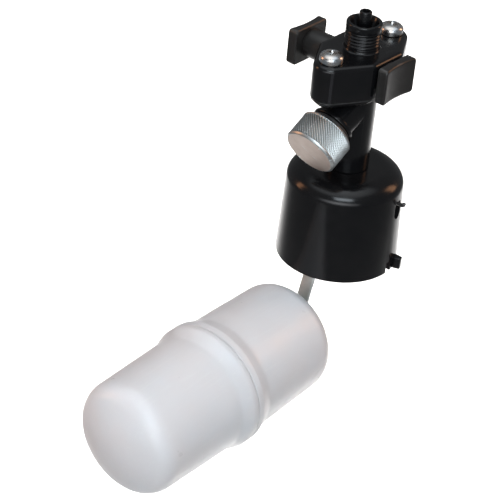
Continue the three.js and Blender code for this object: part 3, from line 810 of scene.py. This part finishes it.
def angled_branch():
    """A plain pipe, its collar, and the hollow threaded stub that the cap screws onto."""
    collar, collar_start = BRANCH_COLLAR
    pitch, depth, start, end = STUB_THREAD
    chamber, chamber_start = CHAMBER
    pipe = rounded([
        (0, 0, 0),
        (BRANCH_RADIUS, 0, 0),
        (BRANCH_RADIUS, collar_start, 0.4),
        (collar, collar_start, 0.2),
        (collar, BRANCH_SHOULDER, 0.3),
        (STUB_RADIUS, BRANCH_SHOULDER, 0),
        (STUB_RADIUS, start, 0),
    ])
    stub = run((STUB_RADIUS, start), (STUB_RADIUS, end), 44)[1:-1]
    mouth = rounded([
        (STUB_RADIUS, end, 0),
        (STUB_RADIUS, BRANCH_END, 0.2),
        (chamber, BRANCH_END, 0.1),
        (chamber, chamber_start, 0),
        (0, chamber_start, 0),
    ])
    relief = thread(pitch, depth, start, end, STUB_RADIUS - 0.01)
    piece = lathe("branch", [*pipe, *stub, *mouth], ON_BRANCH, SIDES, relief)
    combine(piece, [block("above", (-20, -20, NECK_TOP), (20, 20, 0))])
    return piece


def body_neck():
    """The neck and its stem, with the seat's pocket in the stem, and the branch on the neck."""
    pocket, roof = SEAT_POCKET
    neck = rounded([
        (0, NECK_TOP, 0),
        (NECK_RADIUS + 2, NECK_TOP, 0),
        (NECK_RADIUS + 2, FLANGE_BOTTOM, 0),
        (NECK_RADIUS, FLANGE_BOTTOM, 1.2),
        (NECK_RADIUS, NECK_BOTTOM, 0.4),
        (STEM_RADIUS, NECK_BOTTOM, 0),
        (STEM_RADIUS, STEM_BOTTOM, 0.3),
        (pocket, STEM_BOTTOM, 0),
        (pocket, roof, 0),
        (0, roof, 0),
    ])
    piece = lathe("body_neck", neck)
    combine(piece, [angled_branch()], "UNION")
    finished(piece, "valve", "black_plastic", ["valve_body"])


def strainer_cap():
    """The aluminium cap: a knurled barrel, chamfered ends and a plain turned face."""
    end, inside = CAP_BACK + CAP_LENGTH, CAP_BACK + CAP_FLOOR
    low, high = CAP_BACK + CAP_CHAMFER, end - 0.75
    barrel = run((CAP_RADIUS, low), (CAP_RADIUS, high), int((high - low) / 0.11))
    back = rounded([
        (CAP_BORE, inside, 0),
        (CAP_BORE, CAP_BACK, 0.2),
        (CAP_RADIUS - CAP_CHAMFER, CAP_BACK, 0.2),
        (CAP_RADIUS, low, 0),
    ])
    face = rounded([
        (CAP_RADIUS, high, 0),
        (CAP_RADIUS, high + 0.15, 0),
        (CAP_RADIUS - CAP_FACE_INSET, end, 0.15),
        (CAP_RADIUS - 1, end, 0),
    ])
    face += run(face[-1], (0, end), 8)[1:]
    floor = [Vector((0, inside)), Vector((CAP_BORE, inside))]
    relief = knurl(KNURL_TEETH, KNURL_SLANT, KNURL_DEPTH, low, high, CAP_RADIUS - 0.01)
    piece = lathe("strainer_cap_knurled", [*back, *barrel, *face, *floor], ON_BRANCH, KNURL_TEETH * 8, relief)
    finished(piece, "cap", "knurled_aluminium", ["strainer_cap"], 60)


def ring_seal(name, node, body, radius, section, height, place):
    """An O-ring."""
    loop = []
    steps = 24
    for k in range(steps + 1):
        turn = 2 * pi * k / steps
        loop.append(Vector((radius + section * cos(turn), height + section * sin(turn))))
    finished(lathe(name, loop, place), body, "seal_rubber", [node])


def spool_rings():
    for place, middle in RING_PLACES.items():
        ring_seal(f"spool_ring_{place}", f"spool_oring_{place}", "shutoff", *SPOOL_RING, middle, ON_SPOOL)


def cap_ring():
    reach, section = CAP_RING
    radius, height = STUB_RADIUS + reach, BRANCH_SHOULDER + reach
    ring_seal("cap_ring", "strainer_cap_oring", "valve", radius, section, height, ON_BRANCH)


# ---------------------------------------------------------------- hood


def shoulder(inset, steps):
    """The bell's shoulder as a quarter of an ellipse, from the crown to the wall."""
    out, down = BELL_SHOULDER
    arc = []
    for k in range(steps + 1):
        turn = pi / 2 * (1 - k / steps)
        radius = BELL_HEAD_RADIUS - out + (out - inset) * cos(turn)
        arc.append(Vector((radius, BELL_TOP - down + (down - inset) * sin(turn))))
    return arc


def bell_moulding():
    """The bell alone: the crown with its bore for the stem, the shoulder and the wall."""
    foot = BELL_FOOT_RADIUS
    rim = rounded([
        (*shoulder(0, 1)[-1], 0),
        (foot, BELL_BOTTOM, 0.3),
        (foot - BELL_WALL, BELL_BOTTOM, 0.3),
        (*shoulder(BELL_WALL, 1)[-1], 0),
    ])
    bore = [
        Vector((HOOD_BORE, BELL_TOP - BELL_WALL)),
        Vector((HOOD_BORE, BELL_TOP - 0.2)),
        Vector((HOOD_BORE + 0.2, BELL_TOP)),
    ]
    inside = shoulder(BELL_WALL, 10)
    inside.reverse()
    profile = [*bore, *shoulder(0, 20), *rim[1:-1], *inside, bore[0]]
    return lathe("bell_hood_moulding", profile, sides=160)


def rim_lug():
    """The lug that stands out of the bell's wall at its rim."""
    root, tip, back = LUG_X
    foot, outside = BELL_FOOT_RADIUS, BELL_HIGH.y
    outline = [
        (root, foot - BELL_WALL),
        (root, foot - 0.4),
        (tip, outside),
        (back, outside - 0.5),
        (back, foot - BELL_WALL - 1),
    ]
    lug = loft("lug", [[(x, y, z) for x, y in outline] for z in (BELL_BOTTOM, BELL_BOTTOM + LUG_HEIGHT)])
    soften(lug, 0.25)
    return lug


def pin_window():
    """The slot that the hinge pin goes in through, round at both ends."""
    radius, high, low = WINDOW
    steps = 32
    outline = []
    for start, middle in ((0, high), (pi, low)):
        for k in range(steps + 1):
            turn = start + pi * k / steps
            outline.append((PIVOT_X + radius * cos(turn), middle + radius * sin(turn)))
    return loft("slot", [[(x, y, z) for x, z in outline] for y in (8, BELL_HIGH.y + 1)])


def bell_hood():
    piece = bell_moulding()
    combine(piece, [rim_lug()], "UNION")
    left, right = NOTCH_X
    notch = block("notch", (left, 0, BELL_BOTTOM - 1), (right, BELL_HIGH.y + 1, BELL_BOTTOM + LUG_HEIGHT))
    combine(piece, [notch, pin_window()])
    finished(piece, "valve", "black_plastic", ["bell_hood"])


def hinge_pin():
    """A headed wire pin whose far end is bent up into a short hook."""
    low, high = extent("hinge_pin")
    start, end = low.y, high.y - PIN_RADIUS
    bend = end - PIN_BEND
    path = run((0, start, 0), (0, bend, 0), 2)
    steps = 6
    for k in range(1, steps + 1):
        turn = pi / 2 * k / steps
        path.append(Vector((0, bend + PIN_BEND * sin(turn), PIN_BEND * (1 - cos(turn)))))
    path.append(Vector((0, end, PIN_HOOK)))
    pivot = Vector((PIVOT_X, 0, PIVOT_Z))
    sides = 24
    loops = []
    for i, point in enumerate(path):
        along = (path[min(i + 1, len(path) - 1)] - path[max(i - 1, 0)]).normalized()
        up = Vector((1, 0, 0)).cross(along)
        loop = []
        for k in range(sides):
            turn = 2 * pi * k / sides
            spoke = Vector((cos(turn), 0, 0)) + up * sin(turn)
            loop.append(point + spoke * PIN_RADIUS + pivot)
        loops.append(loop)
    piece = loft("hinge_pin_wire", loops)
    soften(piece, 0.15)
    radius, height = PIN_HEAD
    head_end = start + height
    head = rounded([(0, start, 0), (radius, start, 0.3), (radius, head_end, 0.2), (0, head_end, 0)])
    combine(piece, [lathe("pin_head", head, across(PIVOT_X, PIVOT_Z), 32)], "UNION")
    finished(piece, "valve", "pin_steel", ["hinge_pin"])


# ---------------------------------------------------------------- arm and float


def arm_path():
    """The strip's centre line in X and Z: the eye rolled round the pin, then two bends down to the foot."""
    eye = PIVOT_Z - ARM_INNER_Z
    steps = 24
    rolled = []
    for k in range(steps + 1):
        turn = EYE_START + EYE_SWEEP * k / steps
        rolled.append(Vector((PIVOT_X + eye * cos(turn), PIVOT_Z + eye * sin(turn))))
    foot, end = ARM_FOOT
    line = rounded([(PIVOT_X, ARM_INNER_Z, 0), (ARM_KNEE_X, ARM_INNER_Z, 3), (*foot, 12), (*end, 0)])
    return rolled, line


def sweep_strip(name, path, half_width):
    """A strip along the path, with rounded edges. half_width gives half its width from the distance left."""
    ahead = [0]
    for a, b in zip(path, path[1:]):
        ahead.append(ahead[-1] + (b - a).length)
    edge, half = ARM_THICKNESS * 0.22, ARM_THICKNESS / 2
    section = rounded([(-1, -half, edge), (1, -half, edge), (1, half, edge), (-1, half, edge)])
    loops = []
    for i, point in enumerate(path):
        along = (path[min(i + 1, len(path) - 1)] - path[max(i - 1, 0)]).normalized()
        side = Vector((-along.y, along.x))
        width = half_width(ahead[-1] - ahead[i])
        loop = []
        for y, lift in section:
            spread = y + (width - 1 if y > 0 else 1 - width)
            at = point + side * lift
            loop.append((at.x, spread, at.y))
        loops.append(loop)
    return loft(name, loops)


def float_arm():
    """The strip, its foot rounded off, with the eye at its top and the screw's hole in the foot."""
    half = ARM_WIDTH / 2
    rolled, line = arm_path()
    line = line[:-1] + run(line[-2], line[-1], 24)[1:-1]

    def rounded_end(left):
        return half if left > half else max(sqrt(max(half * half - (half - left) ** 2, 0)), 0.6)

    strip = sweep_strip("float_arm_strip", line, rounded_end)
    eye = sweep_strip("eye", rolled, lambda left: half)
    combine(strip, [eye], "UNION")
    hole = cylinder("hole", FLOAT_HOLE[0], -FLOAT_HALF - 5, -FLOAT_HALF + 1, ON_FLOAT)
    combine(strip, [hole])
    finished(strip, "float", "arm_steel", ["float_arm"])


def float_profile(offset, steps):
    """The float's end, from its tip to its wall: the crown's arc and then the shoulder's."""
    hub = FLOAT_END_RADIUS - FLOAT_SHOULDER
    between = FLOAT_CROWN - FLOAT_SHOULDER
    crown_centre = FLOAT_HALF - FLOAT_CROWN
    shoulder_centre = crown_centre + sqrt(between**2 - hub**2)
    join = asin(hub / between)
    profile = []
    for k in range(steps + 1):
        turn = join * k / steps
        reach = FLOAT_CROWN + offset
        profile.append(Vector((reach * sin(turn), crown_centre + reach * cos(turn))))
    for k in range(1, steps + 1):
        turn = join + (pi / 2 - join) * k / steps
        reach = FLOAT_SHOULDER + offset
        profile.append(Vector((hub + reach * sin(turn), shoulder_centre + reach * cos(turn))))
    return profile


def band_profile(offset, seam):
    """The wall from the shoulder on, and the raised band up to a height just short of the seam."""
    return rounded([
        (FLOAT_END_RADIUS + offset, FLOAT_HALF / 2, 0),
        (FLOAT_SEAM_RADIUS + offset, BAND_FOOT, 5),
        (BAND_RADIUS + offset, BAND_FLAT, 3),
        (BAND_RADIUS + offset, seam, 0),
    ])[1:]


def float_shell(which):
    """One half of the float: a thin cup with half of the band at its open end, and a weld line there."""
    outside = float_profile(0, 14) + band_profile(0, 0.25)
    weld = Vector((BAND_RADIUS - 0.18, 0.05))
    inside = float_profile(-FLOAT_WALL, 8) + band_profile(-FLOAT_WALL, 0.05)
    inside.reverse()
    place = ON_FLOAT if which == "near" else ON_FLOAT @ Matrix.Rotation(pi, 4, "X")
    piece = lathe(f"float_shell_{which}_blown", [*outside, weld, *inside], place, 160)
    if which == "far":
        radius, length = FLOAT_BOSS
        combine(piece, [cylinder("boss", radius, FLOAT_HALF - length, FLOAT_HALF, place)], "UNION")
        radius, depth = FLOAT_HOLE
        combine(piece, [cylinder("hole", radius, FLOAT_HALF - depth, FLOAT_HALF + 1, place)])
    finished(piece, "float", "float_polyethylene", [f"float_shell_{which}"])


def float_screw():
    seat = -FLOAT_HALF - ARM_CLEARANCE - ARM_THICKNESS
    place = ON_FLOAT @ Matrix.Translation((0, 0, seat * MM)) @ Matrix.Rotation(pi, 4, "X")
    finished(pan_screw("float_screw_pan", *FLOAT_SCREW, place), "float", "zinc_plate", ["float_screw"])


# ---------------------------------------------------------------- CAD nodes that stay

KEPT = {
    "head_gasket": "seal_rubber",
    "strainer_screen": "screen_steel",
    "hood_nut": "black_plastic",
    "pivot_housing": "black_plastic",
    "valve_seat": "seat_brass",
    "plunger": "plunger_acetal",
    "plunger_seal": "seal_rubber",
}


def keep_node(name, look):
    """Gives a CAD node its finish and breaks its sharp edges."""
    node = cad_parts[name]
    for slot in node.material_slots:
        slot.link = "OBJECT"
        slot.material = FINISHES[look]
    weld = node.modifiers.new("weld", "WELD")
    weld.merge_threshold = 1e-6
    flats = node.modifiers.new("flats", "DECIMATE")
    flats.decimate_type = "DISSOLVE"
    flats.angle_limit = radians(1)
    edges = node.modifiers.new("edges", "BEVEL")
    edges.width = 0.08 * MM
    edges.segments = 2
    edges.limit_method = "ANGLE"
    edges.angle_limit = radians(40)


# ---------------------------------------------------------------- studio


def camera():
    """Looks down at the valve from the float's side. Its azimuth is from +X towards +Y."""
    target = Vector((33.7, -9.0, -63.2)) * MM
    azimuth, elevation, roll, distance = radians(37.56), radians(32.79), radians(5.58), 0.590
    back = Vector((cos(elevation) * cos(azimuth), cos(elevation) * sin(azimuth), sin(elevation)))
    level = Vector((-sin(azimuth), cos(azimuth), 0))
    upright = back.cross(level)
    right = level * cos(roll) + upright * sin(roll)
    up = back.cross(right)
    data = bpy.data.cameras.new("camera")
    data.lens = 136.26
    made = bpy.data.objects.new("camera", data)
    facing = Matrix((right, up, back)).transposed().to_4x4()
    made.matrix_world = Matrix.Translation(target + back * distance) @ facing
    bpy.context.scene.collection.objects.link(made)
    bpy.context.scene.camera = made


def softbox(name, azimuth, elevation, distance, size, power, colour, aim=(20, 0, -55), spread=180):
    """A rectangular area light, in a direction and at a distance from the point that it aims at."""
    a, e = radians(azimuth), radians(elevation)
    away = Vector((cos(e) * cos(a), cos(e) * sin(a), sin(e)))
    data = bpy.data.lights.new(name, "AREA")
    data.shape = "RECTANGLE"
    data.size, data.size_y = size
    data.energy = power
    data.color = colour
    data.spread = radians(spread)
    made = bpy.data.objects.new(name, data)
    made.location = Vector(aim) * MM + away * distance
    made.rotation_mode = "QUATERNION"
    made.rotation_quaternion = away.to_track_quat("Z", "Y")
    bpy.context.scene.collection.objects.link(made)


def studio():
    """A dim room, lamps about the valve, and a lamp over the floor behind it for a white ground."""
    scene = bpy.context.scene
    scene.view_settings.view_transform = "Standard"
    world = bpy.data.worlds.new("studio")
    world.use_nodes = True
    sky = world.node_tree.nodes["Background"]
    sky.inputs["Color"].default_value = (0.95, 0.97, 1, 1)
    sky.inputs["Strength"].default_value = 0.2
    scene.world = world

    softbox("key", 38, 38, 0.9, (0.5, 0.3), 0.6, (0.84, 0.93, 1), spread=70)
    softbox("fill", 30, 6, 0.9, (1.4, 0.3), 1.15, (0.93, 0.96, 1), spread=80)
    softbox("top", 0, 84, 1.0, (1.5, 1.5), 3.4, (0.92, 0.96, 1), spread=90)
    softbox("left_lamp", -58, 14, 0.8, (0.16, 0.4), 1.1, (1, 0.46, 0.22))
    softbox("right_lamp", 150, 24, 0.8, (0.2, 0.35), 1.1, (1, 0.50, 0.26))
    softbox("sweep", 0, 90, 1.6, (2.2, 2.8), 38, (1, 0.98, 0.96), aim=(-1450, -900, FLOOR_Z), spread=60)

    reach = 8 / MM
    corners = [(-reach, -reach), (reach, -reach), (reach, reach), (-reach, reach)]
    floor = make("floor", [(x, y, FLOOR_Z) for x, y in corners], [(0, 1, 2, 3)])
    made = Finish("pale_floor")
    made.colour(made.mix(made.noise(60, 3), (0.93, 0.93, 0.93), (0.95, 0.95, 0.95)))
    made.rough(made.fit(made.noise(30, 3), 0.3, 0.7, (0.75, 0.85)))
    floor.data.materials.append(made.material)


# ---------------------------------------------------------------- assembly

camera()
studio()

head_block()
inlet_spigot()
head_screws()

shutoff_spool()
push_pad("left")
push_pad("right")
spool_rings()

body_flange()
body_neck()
strainer_cap()
cap_ring()

bell_hood()
hinge_pin()
ring_seal("seat_ring", "seat_oring", "valve", *SEAT_RING, ON_AXIS)

float_arm()
float_shell("far")
float_shell("near")
float_screw()

for name, look in KEPT.items():
    keep_node(name, look)
